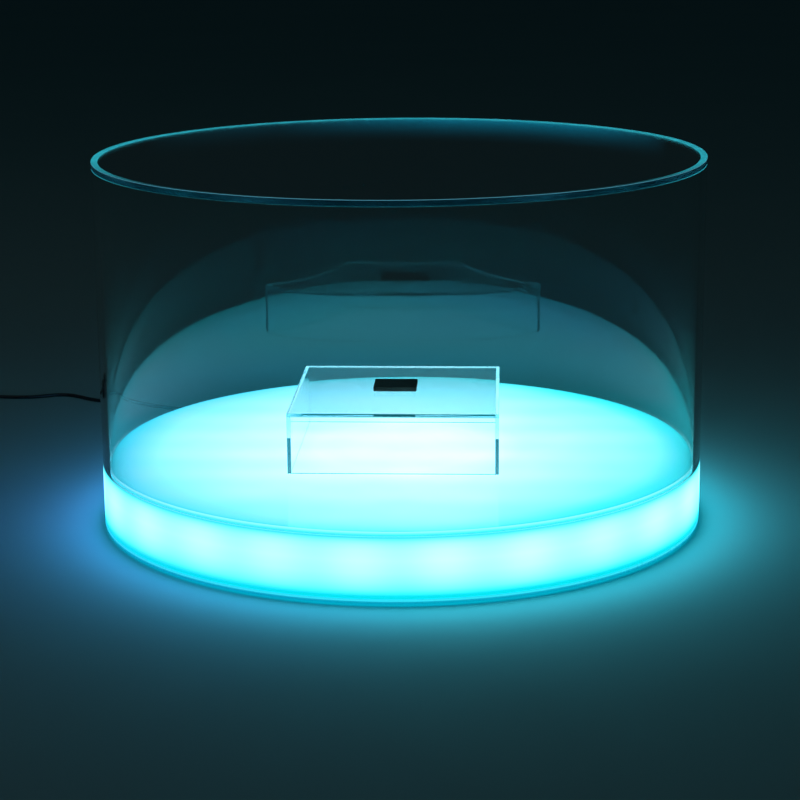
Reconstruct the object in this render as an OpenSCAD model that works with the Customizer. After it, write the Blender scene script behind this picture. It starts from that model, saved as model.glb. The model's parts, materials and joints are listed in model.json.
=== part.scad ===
// Round lit display case for a football: a glowing base, a clear lift-off cover and a clear riser.
// Millimetres, +Z up. The origin is on the surface that the feet stand on, under the base's centre.
// The front faces -Y. The supply cable leaves the base at the back, +Y.

/* [Case] */
// Outside diameter of the base and of the cover
case_od = 500; // [490:5:520]
// Height of the light base, from its underside to the edge that carries the cover
base_h = 52; // [50:1:56]
// Height of the cover, with its top disc
cover_h = 250; // [200:5:320]

/* [Base] */
// Thickness of the bottom plate
plate_t = 4; // [4:0.5:5]
// Thickness of the opal wall ring
ring_wall = 6; // [6:0.5:8]
// Thickness of the opal deck
deck_t = 5; // [4:0.5:6]
// Height of the deck's top above the edge that carries the cover
deck_proud = 3; // [2:0.5:3.5]
// Gap around the deck, inside the wall ring
deck_gap = 0.25; // [0.2:0.05:0.4]
// Height of the rubber feet
foot_h = 2; // [1.5:0.5:3]
// Diameter of the rubber feet
foot_d = 18; // [14:1:24]
// Number of rubber feet, and of deck posts
foot_count = 6; // [3:1:6]

/* [Lights] */
// Distance between neighbouring LED strips under the deck
row_pitch = 60; // [56:1:62]
// Distance between LEDs along a strip
led_pitch = 33.3; // [25:0.1:40]
// Number of LEDs around the wall
rim_leds = 24; // [20:1:28]
// Angle of the first wall LED from the front
rim_turn = 10.5; // [8:0.5:12]

/* [Cover] */
// Wall of the cover's tube
cover_wall = 5.5; // [4:0.5:5.5]
// Thickness of the cover's top disc
cover_top_t = 5; // [4:0.5:8]
// Thickness of the cement line between the tube and the disc
bond_t = 0.3; // [0.2:0.1:0.5]

/* [Riser] */
// Width of the riser, side to side
riser_w = 170; // [150:5:180]
// Depth of the riser, front to back
riser_d = 170; // [150:5:180]
// Height of the riser
riser_h = 50; // [40:5:80]
// Thickness of the riser's sheets
riser_t = 3; // [2:0.5:4]
// Thickness of the pad that the ball rests on
pad_t = 4; // [2:0.5:6]

/* [Cable] */
// Diameter of the supply cable
cable_d = 3.5; // [3:0.1:4]
// Barrel diameter of the plug
barrel_d = 5.5; // [5.5:0.1:5.5]
// Length of the plug's bare barrel
barrel_l = 9.5; // [9:0.5:11]
// Number of turns side by side in the cable's coil
coil_tracks = 4; // [3:1:4]

/* [Hidden] */
$fn = 96;
case_r = case_od / 2;
ring_inner_r = case_r - ring_wall;
deck_r = ring_inner_r - deck_gap;
plate_top = foot_h + plate_t;
rim_z = foot_h + base_h;
deck_top = rim_z + deck_proud;
deck_under = deck_top - deck_t;
post_ring_r = 120;
post_d = 12;
post_screw_d = 4;
post_screw_l = 14;
foot_ring_r = 215;
ledge_w = 8;

film_t = 0.5;
film_top = plate_top + film_t;
hoop_r = 233;
hoop_t = 2;
hoop_h = 34;
strip_limit_r = hoop_r - 5;
strip_w = 10;
strip_t = 0.4;
row_count = 8;
chip_size = 5;
chip_h = 1.6;
wire_d = 1.2;
wire_z = film_top + strip_t + wire_d / 2;
rim_board_t = 1.2;
rim_board_h = 12;
rim_board_angle = 6.6;
rim_led_z = 28;

driver_w = 80;
driver_d = 40;
driver_h = 14;
driver_wall = 1.6;
driver_y = 3 * row_pitch;
driver_z = film_top;
driver_lid_t = 1.6;

exit_z = 14;
relief_flange_t = 2;
relief_collar_t = 2;
relief_play = 0.1;
relief_tail = 22;
relief_end = case_r + relief_flange_t + relief_tail;

cover_r = case_r;
cover_inner_r = cover_r - cover_wall;
tube_h = cover_h - cover_top_t - bond_t;

riser_centre = [-2.5, -3.5];
riser_base = deck_top;
riser_top_z = riser_base + riser_h;
pad_w = 36;
pad_d = 30;
pad_offset = [-2, 6];

switch_centre = [-113, 322];
switch_l = 58;
switch_w = 20;
switch_split = 6;
switch_top = 13;
switch_wall = 1.5;
button_d = 9.6;
button_gap = 0.2;
button_proud = 2;
button_flange_d = 12;
button_flange_t = 1.2;
button_travel = 1.5;

coil_centre = [-466, 366];
coil_mid_r = 19.25;
coil_base_z = 0.9;
coil_levels = 2;
coil_inner_r = coil_mid_r - coil_tracks * cable_d / 2;
coil_outer_r = coil_mid_r + coil_tracks * cable_d / 2;
tie_t = 0.6;
tie_w = 8;
tie_angle = 250;

plug_y = 391.5;
plug_z = 5.3;
plug_tail_x = -494;
plug_taper_l = 14;
plug_body_d = 10.6;
plug_body_l = 21;

// The cable's route from the strain relief to the switch, on the cable's centre line
tail_route = [
    [0, 274, 14], [0, 280, 13.6], [-1, 287, 12], [-4, 295, 9.2], [-9, 303, 6.2], [-17, 311, 3.8],
    [-27, 317, 2.3], [-39, 321, 1.8], [-52, 322, 1.8], [-64, 322, 2.4], [-75, 322, 4.2], [-84, 322, 5]
];
// The cable's route from the switch to the coil
lead_route = [
    [-142, 322, 5], [-151, 322, 4.2], [-162, 323, 2.4], [-176, 325, 1.8], [-200, 329, 1.8],
    [-225, 335, 1.8], [-250, 342, 1.8], [-275, 351, 1.8], [-300, 361, 1.8], [-322, 371, 1.8],
    [-338, 380, 1.8], [-350, 389, 1.8], [-361, 396, 1.8], [-373, 398, 1.8], [-385, 394, 1.8],
    [-397, 389, 1.8], [-412, 387, 1.8], [-428, 388, 1.8], [-444, 390, 2.1], [-458, 390.5, 2.6]
];
// The cable's route from the coil to the plug
plug_route = [
    [-470, 393.2, 6.1], [-477, 393, 6], [-484, 392.2, 5.6], [-489, 391.5, 5.3], [-494, 391.5, 5.3]
];

// Point at a distance r and an angle a from the axis
function polar(r, a) = [r * cos(a), r * sin(a)];
// Unit vector along v
function unit(v) = v / norm(v);
// Point between b and c, at the share t, on a smooth curve through a, b, c and d
function smooth(a, b, c, d, t) =
    0.5 * (2 * b + (c - a) * t + (2 * a - 5 * b + 4 * c - d) * t * t
    + (3 * b - a - 3 * c + d) * t * t * t);
// A route with extra points between its own, so that it bends evenly
function smoothed(route, parts) =
    let (last = len(route) - 1)
    concat(
        [for (i = [0:last - 1], k = [0:parts - 1])
            smooth(
                route[max(i - 1, 0)], route[i], route[i + 1], route[min(i + 2, last)], k / parts
            )],
        [route[last]]
    );
// Direction of a path at its point i
function heading(path, i) = unit(path[min(i + 1, len(path) - 1)] - path[max(i - 1, 0)]);
// Corners of a tube's cross-section at point i of its path
function section(path, i, d, sides) =
    let (t = heading(path, i), s = unit(cross([0, 0, 1], t)), u = cross(t, s))
    [for (k = [0:sides - 1]) path[i] + d / 2 * (cos(360 * k / sides) * s + sin(360 * k / sides) * u)];

// Round wire or cable along a path that is nowhere upright
module tube(path, d, sides = 8) {
    last = len(path) - 1;
    corners = [for (i = [0:last]) each section(path, i, d, sides)];
    walls = [for (i = [0:last - 1], k = [0:sides - 1])
        let (a = i * sides + k, b = i * sides + (k + 1) % sides)
        each [[a, a + sides, b], [b, a + sides, b + sides]]];
    first_cap = [for (k = [0:sides - 1]) k];
    last_cap = [for (k = [0:sides - 1]) last * sides + sides - 1 - k];
    polyhedron(points = corners, faces = concat(walls, [first_cap], [last_cap]));
}

// Flat rectangle with round corners, centred
module round_rect(w, d, r) {
    square([w - 2 * r, d], center = true);
    square([w, d - 2 * r], center = true);
    for (x = [-1, 1], y = [-1, 1]) translate([x * (w / 2 - r), y * (d / 2 - r)]) circle(r);
}

// Plain ring between two radii, standing on z = 0
module ring(outer, inner, h) {
    difference() {
        cylinder(r = outer, h = h);
        translate([0, 0, -1]) cylinder(r = inner, h = h + 2);
    }
}

// Places its children at each deck post
module at_posts() {
    for (i = [0:foot_count - 1])
        translate(polar(post_ring_r, 360 / foot_count * i)) children();
}

// Places its children at each wall LED, with +X pointing outwards
module at_rim_leds() {
    for (i = [0:rim_leds - 1]) rotate([0, 0, rim_angle(i)]) children();
}
function rim_angle(i) = -90 + rim_turn + 360 / rim_leds * i;

// --- Light base ---

// Rubber feet under the bottom plate, with a chamfered lower edge
module feet() {
    chamfer = 0.5;
    color("#2b2d2e") for (i = [0:foot_count - 1])
        translate(polar(foot_ring_r, 360 / foot_count * (i + 0.5))) {
            cylinder(d1 = foot_d - 2 * chamfer, d2 = foot_d, h = chamfer);
            translate([0, 0, chamfer]) cylinder(d = foot_d, h = foot_h - chamfer);
        }
}

// Bottom plate, with a countersunk hole under each deck post
module bottom_plate() {
    color("#bfeff5") difference() {
        translate([0, 0, foot_h]) cylinder(r = case_r, h = plate_t, $fn = 180);
        at_posts() {
            translate([0, 0, foot_h - 1]) cylinder(d = post_screw_d + 0.4, h = plate_t + 2);
            translate([0, 0, foot_h - 0.01])
                cylinder(d1 = 2 * post_screw_d + 0.4, d2 = post_screw_d + 0.4, h = 2.2);
        }
    }
}

// Countersunk screws that hold the bottom plate to the deck posts
module post_screws() {
    head_h = 2;
    recess_d = 2;
    color("#b9bcc0") at_posts() translate([0, 0, foot_h + 0.1]) difference() {
        union() {
            cylinder(d1 = 2 * post_screw_d, d2 = post_screw_d, h = head_h);
            cylinder(d = post_screw_d - 0.1, h = post_screw_l);
        }
        translate([0, 0, -0.1]) cylinder(d = recess_d, h = 1.4, $fn = 6);
    }
}

// Clear posts that carry the middle of the deck
module deck_posts() {
    color("#d8f6fa") at_posts() translate([0, 0, plate_top]) difference() {
        cylinder(d = post_d, h = deck_under - plate_top);
        translate([0, 0, -1]) cylinder(d = post_screw_d, h = post_screw_l);
    }
}

// Opal wall ring, with a hole for the cable at the back
module wall_ring() {
    color("#8ff4fb") difference() {
        translate([0, 0, plate_top]) ring(case_r, ring_inner_r, rim_z - plate_top, $fn = 180);
        translate([0, case_r - 2 * ring_wall, exit_z]) rotate([-90, 0, 0])
            cylinder(d = 7, h = 3 * ring_wall);
    }
}

// Clear ledge inside the wall ring, under the edge of the deck
module deck_ledge() {
    color("#d8f6fa") translate([0, 0, deck_under - deck_t])
        ring(ring_inner_r - 0.1, ring_inner_r - ledge_w, deck_t, $fn = 180);
}

// Opal deck, with a chamfered top edge
module deck() {
    chamfer = 0.5;
    color("#b8fbff") translate([0, 0, deck_under]) {
        cylinder(r = deck_r, h = deck_t - chamfer, $fn = 180);
        translate([0, 0, deck_t - chamfer])
            cylinder(r1 = deck_r, r2 = deck_r - chamfer, h = chamfer, $fn = 180);
    }
}

// White film on the bottom plate that throws the light upwards
module reflector_film() {
    color("#f4f6f6") difference() {
        translate([0, 0, plate_top]) cylinder(r = hoop_r - hoop_t - 1, h = film_t, $fn = 180);
        at_posts() translate([0, 0, plate_top - 1]) cylinder(d = post_d + 1, h = film_t + 2);
    }
}

// White hoop that carries the wall LEDs, with holes for the supply lead and the feed
module led_hoop() {
    color("#f4f6f6") difference() {
        translate([0, 0, plate_top]) ring(hoop_r, hoop_r - hoop_t, hoop_h, $fn = 180);
        translate([0, hoop_r - 3 * hoop_t, exit_z]) rotate([-90, 0, 0])
            cylinder(d = cable_d + 1, h = 5 * hoop_t);
        rotate([0, 0, rim_angle(feed_led)]) translate([hoop_r - 3 * hoop_t, 0, rim_led_z])
            rotate([0, 90, 0]) cylinder(d = 3, h = 5 * hoop_t);
    }
}
// The wall LED that the feed reaches, to the right of the back
feed_led = floor((180 - rim_turn) * rim_leds / 360) - 1;

// --- LED strips under the deck ---

function row_y(i) = (i - (row_count + 1) / 2) * row_pitch;
function row_reach(i) = sqrt(pow(strip_limit_r, 2) - pow(abs(row_y(i)) + strip_w / 2, 2));
function row_leds(i) = floor(2 * row_reach(i) / led_pitch);
function row_half(i) = row_leds(i) * led_pitch / 2;

// Flexible board of one LED strip
module led_strip(i) {
    color("#fbfaf2") translate([-row_half(i), row_y(i) - strip_w / 2, film_top])
        cube([2 * row_half(i), strip_w, strip_t]);
}

// The LEDs of all the strips
module strip_leds() {
    color("#ffd84a") for (i = [1:row_count], k = [0:row_leds(i) - 1])
        translate([
            (k + 0.5) * led_pitch - row_half(i) - chip_size / 2,
            row_y(i) - chip_size / 2,
            film_top + strip_t
        ]) cube([chip_size, chip_size, chip_h]);
}

// Pairs of wires that join the strips' ends, on the right and the left in turn
module strip_jumpers() {
    inset = 4;
    color("#c8402e") for (i = [1:row_count - 1], k = [-1, 1]) {
        side = i % 2 == 0 ? -1 : 1;
        a = side * (row_half(i) - inset) + 1.5 * k;
        b = side * (row_half(i + 1) - inset) + 1.5 * k;
        // Keeps the pair apart where it slants between strips of different lengths
        apart = a == b ? 0 : 1.5 * k * sign(a - b);
        tube(smoothed([
            [a, row_y(i) + 3, wire_z], [a, row_y(i) + 10, wire_z],
            [a + 0.2 * (b - a), row_y(i) + 22 + apart, wire_z],
            [a + 0.8 * (b - a), row_y(i + 1) - 22 + apart, wire_z],
            [b, row_y(i + 1) - 10, wire_z], [b, row_y(i + 1) - 3, wire_z]
        ], 2), wire_d, 6);
    }
}

// --- LEDs around the wall ---

// Curved boards on the hoop, one for each wall LED
module rim_boards() {
    color("#fbfaf2") at_rim_leds() rotate([0, 0, -rim_board_angle / 2])
        translate([0, 0, rim_led_z - rim_board_h / 2])
            rotate_extrude(angle = rim_board_angle, $fn = 180) translate([hoop_r, 0])
                square([rim_board_t, rim_board_h]);
}

// The wall LEDs
module rim_leds() {
    color("#ffd84a") at_rim_leds()
        translate([hoop_r + rim_board_t, -chip_size / 2, rim_led_z - chip_size / 2])
            cube([chip_h, chip_size, chip_size]);
}

// Domed lens on each wall LED
module rim_lenses() {
    lens_r = 2.2;
    color("#eefcff") at_rim_leds()
        translate([hoop_r + rim_board_t + chip_h, 0, rim_led_z]) intersection() {
            sphere(r = lens_r, $fn = 32);
            translate([0, -lens_r, -lens_r]) cube([lens_r, 2 * lens_r, 2 * lens_r]);
        }
}

// Two wires from each wall board to the next
module rim_wires() {
    color("#d6d2c4") at_rim_leds() for (z = [-3, 3])
        rotate([0, 0, rim_board_angle / 2]) translate([0, 0, rim_led_z + z])
            rotate_extrude(angle = 360 / rim_leds - rim_board_angle, $fn = 180)
                translate([hoop_r + 0.8, 0]) circle(d = wire_d, $fn = 16);
}

// --- LED driver ---

module at_driver() {
    translate([0, driver_y, driver_z]) children();
}

// Open tray of the driver, with a boss for a screw in each corner
module driver_tray() {
    inner_w = driver_w - 2 * driver_wall;
    inner_d = driver_d - 2 * driver_wall;
    tray_h = driver_h - driver_lid_t;
    color("#33373a") at_driver() {
        difference() {
            linear_extrude(tray_h) round_rect(driver_w, driver_d, 3);
            translate([0, 0, driver_wall]) linear_extrude(tray_h)
                square([inner_w, inner_d], center = true);
        }
        difference() {
            for (x = [-1, 1], y = [-1, 1])
                translate([x * (inner_w / 2 - 2.5), y * (inner_d / 2 - 2.5), tray_h / 2 + 0.4])
                    cube([5.2, 5.2, tray_h - 0.8], center = true);
            for (x = [-1, 1], y = [-1, 1])
                translate([x * (inner_w / 2 - 2.5), y * (inner_d / 2 - 2.5), 4])
                    cylinder(d = 1.8, h = tray_h, $fn = 24);
        }
    }
}

// Circuit board of the driver
module driver_board() {
    color("#1f6b3a") at_driver() translate([0, 0, driver_wall + 0.8]) difference() {
        translate([0, 0, 0.6]) cube([driver_w - 16, driver_d - 5, 1.2], center = true);
        for (x = [-26, 26]) translate([x, 0, -1]) cylinder(d = 2.5, h = 4, $fn = 24);
    }
}

// Parts on the driver's board: a coil, two capacitors, a chip and a terminal block
module driver_components() {
    board_top = driver_wall + 2;
    color("#5a5f66") at_driver() translate([0, 0, board_top]) {
        translate([-14, -6, 2.5]) cube([10, 10, 5], center = true);
        for (y = [-8, 4]) translate([6, y, 0]) cylinder(d = 6.3, h = 7, $fn = 32);
        translate([-12, 9, 0.8]) cube([9, 6, 1.6], center = true);
        translate([22, 0, 3]) cube([8, 20, 6], center = true);
    }
}

// Lid of the driver, with four screw holes
module driver_lid() {
    screw_x = driver_w / 2 - driver_wall - 2.5;
    screw_y = driver_d / 2 - driver_wall - 2.5;
    color("#3b4043") at_driver() translate([0, 0, driver_h - driver_lid_t]) difference() {
        linear_extrude(driver_lid_t) round_rect(driver_w, driver_d, 3);
        for (x = [-1, 1], y = [-1, 1])
            translate([x * screw_x, y * screw_y, -1]) cylinder(d = 2.2, h = 4, $fn = 24);
    }
}

// Four screws that hold the driver's lid
module driver_screws() {
    screw_x = driver_w / 2 - driver_wall - 2.5;
    screw_y = driver_d / 2 - driver_wall - 2.5;
    color("#b9bcc0") at_driver() for (x = [-1, 1], y = [-1, 1])
        translate([x * screw_x, y * screw_y, driver_h]) {
            translate([0, 0, -7]) cylinder(d = 1.7, h = 7, $fn = 24);
            cylinder(d1 = 3.6, d2 = 3, h = 1.2, $fn = 32);
        }
}

// Supply lead from the cable's strain relief to the driver
module supply_lead() {
    start_y = driver_y + driver_d / 2;
    color("#1d1f21") translate([0, start_y, exit_z]) rotate([-90, 0, 0])
        cylinder(d = cable_d, h = ring_inner_r - relief_play - relief_collar_t - start_y, $fn = 32);
}

// Wires from the driver to the left end of the rearmost strip
module strip_feed() {
    z = driver_z + driver_h / 2;
    end_x = 4 - row_half(row_count);
    end_y = row_y(row_count) - 3;
    color("#c8402e") for (k = [-1, 1]) tube(smoothed([
        [-driver_w / 2, driver_y + 2 * k, z], [-driver_w / 2 - 7, driver_y + 2 * k, z - 0.7],
        [end_x + 5 + 1.8 * k, driver_y + 7 + 1.5 * k, z - 3.5],
        [end_x + 1.5 * k, end_y - 9, wire_z + 1], [end_x + 1.5 * k, end_y, wire_z]
    ], 3), wire_d, 6);
}

// Wires from the driver to the back of a wall board, through the hoop
module rim_feed() {
    z = driver_z + driver_h / 2;
    a = rim_angle(feed_led);
    near = polar(hoop_r - 12, a);
    end = polar(hoop_r - 0.1, a);
    color("#d6d2c4") for (k = [-1, 1]) translate([0, 0, 0.7 * k]) tube(smoothed([
        [driver_w / 2, driver_y, z], [driver_w / 2 + 8, driver_y, z + 0.6],
        [near[0] - 12, near[1] - 16, z + 8], [near[0], near[1], rim_led_z - 0.5],
        [end[0], end[1], rim_led_z]
    ], 3), wire_d, 6);
}

// --- Supply cable ---

// Strain relief in the wall: inner collar, barrel, outer flange and tapered tail
module cable_relief() {
    color("#17191a") translate([0, 0, exit_z]) rotate([-90, 0, 0]) {
        translate([0, 0, ring_inner_r - relief_play - relief_collar_t])
            cylinder(d = 10, h = relief_collar_t);
        translate([0, 0, ring_inner_r - 0.2]) cylinder(d = 6.8, h = ring_wall + 1);
        translate([0, 0, case_r + 0.01]) cylinder(d = 11, h = relief_flange_t);
        translate([0, 0, case_r + relief_flange_t]) cylinder(d1 = 8, d2 = cable_d + 1, h = relief_tail);
    }
}

module cable_tail() {
    color("#141617") tube(tail_route, cable_d);
}

module cable_lead() {
    color("#141617") tube(smoothed(lead_route, 2), cable_d);
}

module plug_lead() {
    color("#141617") tube(smoothed(plug_route, 2), cable_d);
}

// Outer shape of the cable's coil
module cable_coil() {
    color("#1b1d1f") translate([coil_centre[0], coil_centre[1], coil_base_z]) rotate_extrude()
        translate([coil_mid_r, coil_levels * cable_d / 2])
            round_rect(coil_outer_r - coil_inner_r, coil_levels * cable_d, 1.2, $fn = 16);
}

// Band that holds the coil together
module coil_tie() {
    gap = 0.1;
    bundle_h = coil_levels * cable_d;
    // The band's inner leg stands clear of the coil's inside, which curves towards it
    leg = coil_inner_r - 0.9;
    color("#2f5f9e") translate([coil_centre[0], coil_centre[1], coil_base_z])
        rotate([0, 0, tie_angle]) difference() {
            translate([leg - tie_t, -tie_w / 2, -gap - tie_t])
                cube([coil_outer_r + gap + 2 * tie_t - leg, tie_w, bundle_h + 2 * gap + 2 * tie_t]);
            translate([leg, -tie_w, -gap])
                cube([coil_outer_r + gap - leg, 2 * tie_w, bundle_h + 2 * gap]);
        }
}

// --- In-line switch ---

module at_switch() {
    translate([switch_centre[0], switch_centre[1], 0]) children();
}

// Lower half of the switch's case
module switch_base() {
    color("#1c1e20") at_switch() difference() {
        linear_extrude(switch_split) round_rect(switch_l, switch_w, 6, $fn = 48);
        translate([0, 0, switch_wall]) linear_extrude(switch_split)
            round_rect(switch_l - 2 * switch_wall, switch_w - 2 * switch_wall, 4.5, $fn = 48);
    }
}

// Upper half of the switch's case, with the button's hole
module switch_shell() {
    color("#222527") at_switch() difference() {
        union() {
            translate([0, 0, switch_split]) linear_extrude(switch_top - switch_split - 1)
                round_rect(switch_l, switch_w, 6, $fn = 48);
            translate([0, 0, switch_top - 1]) linear_extrude(1)
                round_rect(switch_l - 2, switch_w - 2, 5, $fn = 48);
        }
        translate([0, 0, switch_split - 1])
            linear_extrude(switch_top - switch_split + 1 - switch_wall)
                round_rect(switch_l - 2 * switch_wall, switch_w - 2 * switch_wall, 4.5, $fn = 48);
        cylinder(d = button_d + 2 * button_gap, h = 2 * switch_top);
    }
}

// Contact block on the floor of the switch, with a seat for the spring
module switch_contacts() {
    color("#c9a24a") at_switch() translate([0, 0, switch_wall]) difference() {
        translate([0, 0, 1.5]) cube([22, 12, 3], center = true);
        translate([0, 0, 1.6]) cylinder(d = 7, h = 3);
    }
}

// Return spring of the button
module switch_spring() {
    turns = 4;
    steps = 12;
    seat_z = switch_wall + 1.6;
    free_top = switch_top - switch_wall - button_flange_t;
    wire = 0.5;
    rise = free_top - seat_z - wire - 0.1;
    color("#c3c7cb") at_switch() tube(
        [for (i = [0:turns * steps]) [
            2.4 * cos(360 * i / steps), 2.4 * sin(360 * i / steps),
            seat_z + wire / 2 + 0.05 + rise * i / (turns * steps)
        ]], wire, 6);
}

// Push button, with the flange that keeps it in the case
module switch_button() {
    flange_top = switch_top - switch_wall;
    color("#d8dadb") at_switch() {
        translate([0, 0, flange_top - button_flange_t])
            cylinder(d = button_flange_d, h = button_flange_t);
        cap_h = switch_wall + button_proud - 0.6;
        translate([0, 0, flange_top - 0.01]) cylinder(d = button_d, h = cap_h + 0.01);
        translate([0, 0, flange_top + cap_h]) cylinder(d1 = button_d, d2 = button_d - 1.2, h = 0.6);
    }
}

// --- Plug ---

module at_plug() {
    translate([plug_tail_x, plug_y, plug_z]) rotate([0, -90, 0]) children();
}

// Moulded body of the plug, with its tapered tail and three grip grooves
module plug_body() {
    grip_d = plug_body_d - 1;
    color("#17191a") at_plug() difference() {
        union() {
            cylinder(d1 = cable_d + 1, d2 = 8.5, h = plug_taper_l);
            translate([0, 0, plug_taper_l]) cylinder(d = plug_body_d, h = plug_body_l);
        }
        for (z = [5, 9, 13]) translate([0, 0, plug_taper_l + z]) ring(plug_body_d, grip_d / 2, 1.6);
    }
}

// Metal barrel of the plug
module plug_barrel() {
    color("#c3c7cb") at_plug() translate([0, 0, plug_taper_l + plug_body_l])
        ring(barrel_d / 2, barrel_d / 2 - 0.6, barrel_l);
}

// Insulator inside the barrel, with the socket for the centre pin
module plug_insulator() {
    color("#202224") at_plug() translate([0, 0, plug_taper_l + plug_body_l])
        ring(barrel_d / 2 - 0.65, 1.05, barrel_l - 0.5);
}

// --- Cover ---

// Clear tube of the cover, standing on the wall ring
module cover_tube() {
    color("#bfe9f2", 0.35) translate([0, 0, rim_z]) ring(cover_r, cover_inner_r, tube_h, $fn = 180);
}

// Cement line between the tube and the disc
module cover_bond() {
    color("#bff6ff", 0.8) translate([0, 0, rim_z + tube_h])
        ring(cover_r, cover_inner_r, bond_t, $fn = 180);
}

// Clear disc that closes the cover
module cover_disc() {
    color("#bfe9f2", 0.35) translate([0, 0, rim_z + cover_h - cover_top_t])
        cylinder(r = cover_r, h = cover_top_t, $fn = 180);
}

// --- Riser ---

module at_riser() {
    translate([riser_centre[0], riser_centre[1], riser_base]) children();
}

// One upright sheet of the riser, w wide along X and d deep along Y, centred on a place
module riser_sheet(w, d, place) {
    color("#cdf3f8", 0.45) at_riser() translate([place[0] - w / 2, place[1] - d / 2, 0])
        cube([w, d, riser_h - riser_t]);
}

module riser_top() {
    color("#cdf3f8", 0.45) at_riser() translate([-riser_w / 2, -riser_d / 2, riser_h - riser_t])
        cube([riser_w, riser_d, riser_t]);
}

module riser_front() {
    riser_sheet(riser_w, riser_t, [0, (riser_t - riser_d) / 2]);
}

module riser_back() {
    riser_sheet(riser_w, riser_t, [0, (riser_d - riser_t) / 2]);
}

module riser_left() {
    riser_sheet(riser_t, riser_d - 2 * riser_t, [(riser_t - riser_w) / 2, 0]);
}

module riser_right() {
    riser_sheet(riser_t, riser_d - 2 * riser_t, [(riser_w - riser_t) / 2, 0]);
}

// Pad that keeps the ball from rolling
module ball_pad() {
    color("#23291f") at_riser() translate([pad_offset[0], pad_offset[1], riser_h])
        linear_extrude(pad_t) round_rect(pad_w, pad_d, 1.5, $fn = 32);
}

feet();
bottom_plate();
post_screws();
deck_posts();
wall_ring();
deck_ledge();
deck();
reflector_film();
led_hoop();
for (i = [1:row_count]) led_strip(i);
strip_leds();
strip_jumpers();
rim_boards();
rim_leds();
rim_lenses();
rim_wires();
driver_tray();
driver_board();
driver_components();
driver_lid();
driver_screws();
supply_lead();
strip_feed();
rim_feed();
cable_relief();
cable_tail();
cable_lead();
cable_coil();
coil_tie();
plug_lead();
switch_base();
switch_shell();
switch_contacts();
switch_spring();
switch_button();
plug_body();
plug_barrel();
plug_insulator();
cover_tube();
cover_bond();
cover_disc();
riser_top();
riser_front();
riser_back();
riser_left();
riser_right();
ball_pad();
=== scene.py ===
"""Looks of the round lit display case. Metres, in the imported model's frame."""

import json
import math

import bmesh
import bpy
from mathutils import Matrix, Vector


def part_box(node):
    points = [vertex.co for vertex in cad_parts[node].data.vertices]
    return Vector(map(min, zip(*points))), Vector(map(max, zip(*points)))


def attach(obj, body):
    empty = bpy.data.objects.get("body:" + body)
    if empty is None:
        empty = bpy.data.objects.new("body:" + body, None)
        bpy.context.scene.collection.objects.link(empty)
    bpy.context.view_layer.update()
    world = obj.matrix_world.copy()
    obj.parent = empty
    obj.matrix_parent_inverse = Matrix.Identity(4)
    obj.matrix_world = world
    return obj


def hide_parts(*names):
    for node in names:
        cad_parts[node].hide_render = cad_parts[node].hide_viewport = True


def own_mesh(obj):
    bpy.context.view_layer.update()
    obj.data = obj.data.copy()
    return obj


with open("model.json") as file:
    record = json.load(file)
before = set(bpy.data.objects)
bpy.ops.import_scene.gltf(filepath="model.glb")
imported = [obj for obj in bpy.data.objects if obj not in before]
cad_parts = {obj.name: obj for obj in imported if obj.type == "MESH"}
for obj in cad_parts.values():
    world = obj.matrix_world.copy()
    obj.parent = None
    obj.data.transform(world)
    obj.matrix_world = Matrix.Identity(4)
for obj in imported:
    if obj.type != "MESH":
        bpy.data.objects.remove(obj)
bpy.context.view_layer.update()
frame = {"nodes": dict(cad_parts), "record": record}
nodes = frame["nodes"]
slot_of = {part["node"]: part["material_slot"] for part in frame["record"]["subparts"]}

# --- Sizes, in metres ---

wall_low, wall_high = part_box("wall_ring")
deck_low, deck_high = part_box("deck")
plate_low, plate_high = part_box("bottom_plate")
tube_low, tube_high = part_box("cover_tube")
disc_low, disc_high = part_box("cover_disc")
BASE_R = wall_high.x
WALL_T = 0.006
TUBE_T = 0.0055
LEDGE_W = 0.0079
SEAM = 0.00015
RIM_LEDS = 24
FIRST_LED = math.radians(-79.5)
ROW_PITCH = 0.06

# --- Light of the lit pieces, as emission strengths ---

WALL_GLOW = 4.1
DECK_GLOW = 2.2
PLATE_GLOW = 3.0
# The cement's glow is painted light: the cement is no lamp.
CEMENT_PAINTED_GLOW = 0.7
LED_GLOW = 2.5

# --- Camera: a long lens a little above the cover, slightly to the right of the front ---

CAMERA_BACK = 1.8015
CAMERA_SIDE = -0.00085
CAMERA_HEIGHT = 0.54175
CAMERA_TURN = math.radians(2.93)
CAMERA_DOWN = math.radians(13.89)
CAMERA_ROLL = math.radians(-0.479)
CAMERA_LENS = 99.42
SENSOR_WIDTH = 36

scene = bpy.context.scene
camera_data = bpy.data.cameras.new("camera")
camera_data.lens = CAMERA_LENS
camera_data.sensor_width = SENSOR_WIDTH
camera_data.clip_start = 0.05
camera_data.clip_end = 60
camera = bpy.data.objects.new("camera", camera_data)
scene.collection.objects.link(camera)
turn = Matrix.Rotation(CAMERA_TURN, 4, "Z")
tilt = Matrix.Rotation(math.pi / 2 - CAMERA_DOWN, 4, "X")
roll = Matrix.Rotation(CAMERA_ROLL, 4, "Z")
place = Matrix.Translation((CAMERA_SIDE, -CAMERA_BACK, CAMERA_HEIGHT))
camera.matrix_world = turn @ place @ tilt @ roll
scene.camera = camera

# --- Node helpers ---


def node(tree, kind, inputs=None, **settings):
    """A new shader node. An input is a socket to link or a value to set."""
    made = tree.nodes.new(kind)
    for key, value in settings.items():
        setattr(made, key, value)
    for key, value in (inputs or {}).items():
        if isinstance(value, bpy.types.NodeSocket):
            tree.links.new(value, made.inputs[key])
        else:
            made.inputs[key].default_value = value
    return made


def math_node(tree, operation, a, b=0.0):
    return node(tree, "ShaderNodeMath", {0: a, 1: b}, operation=operation).outputs[0]


def position(tree):
    """Position on the piece, in metres."""
    return node(tree, "ShaderNodeTexCoord").outputs["Object"]


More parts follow.
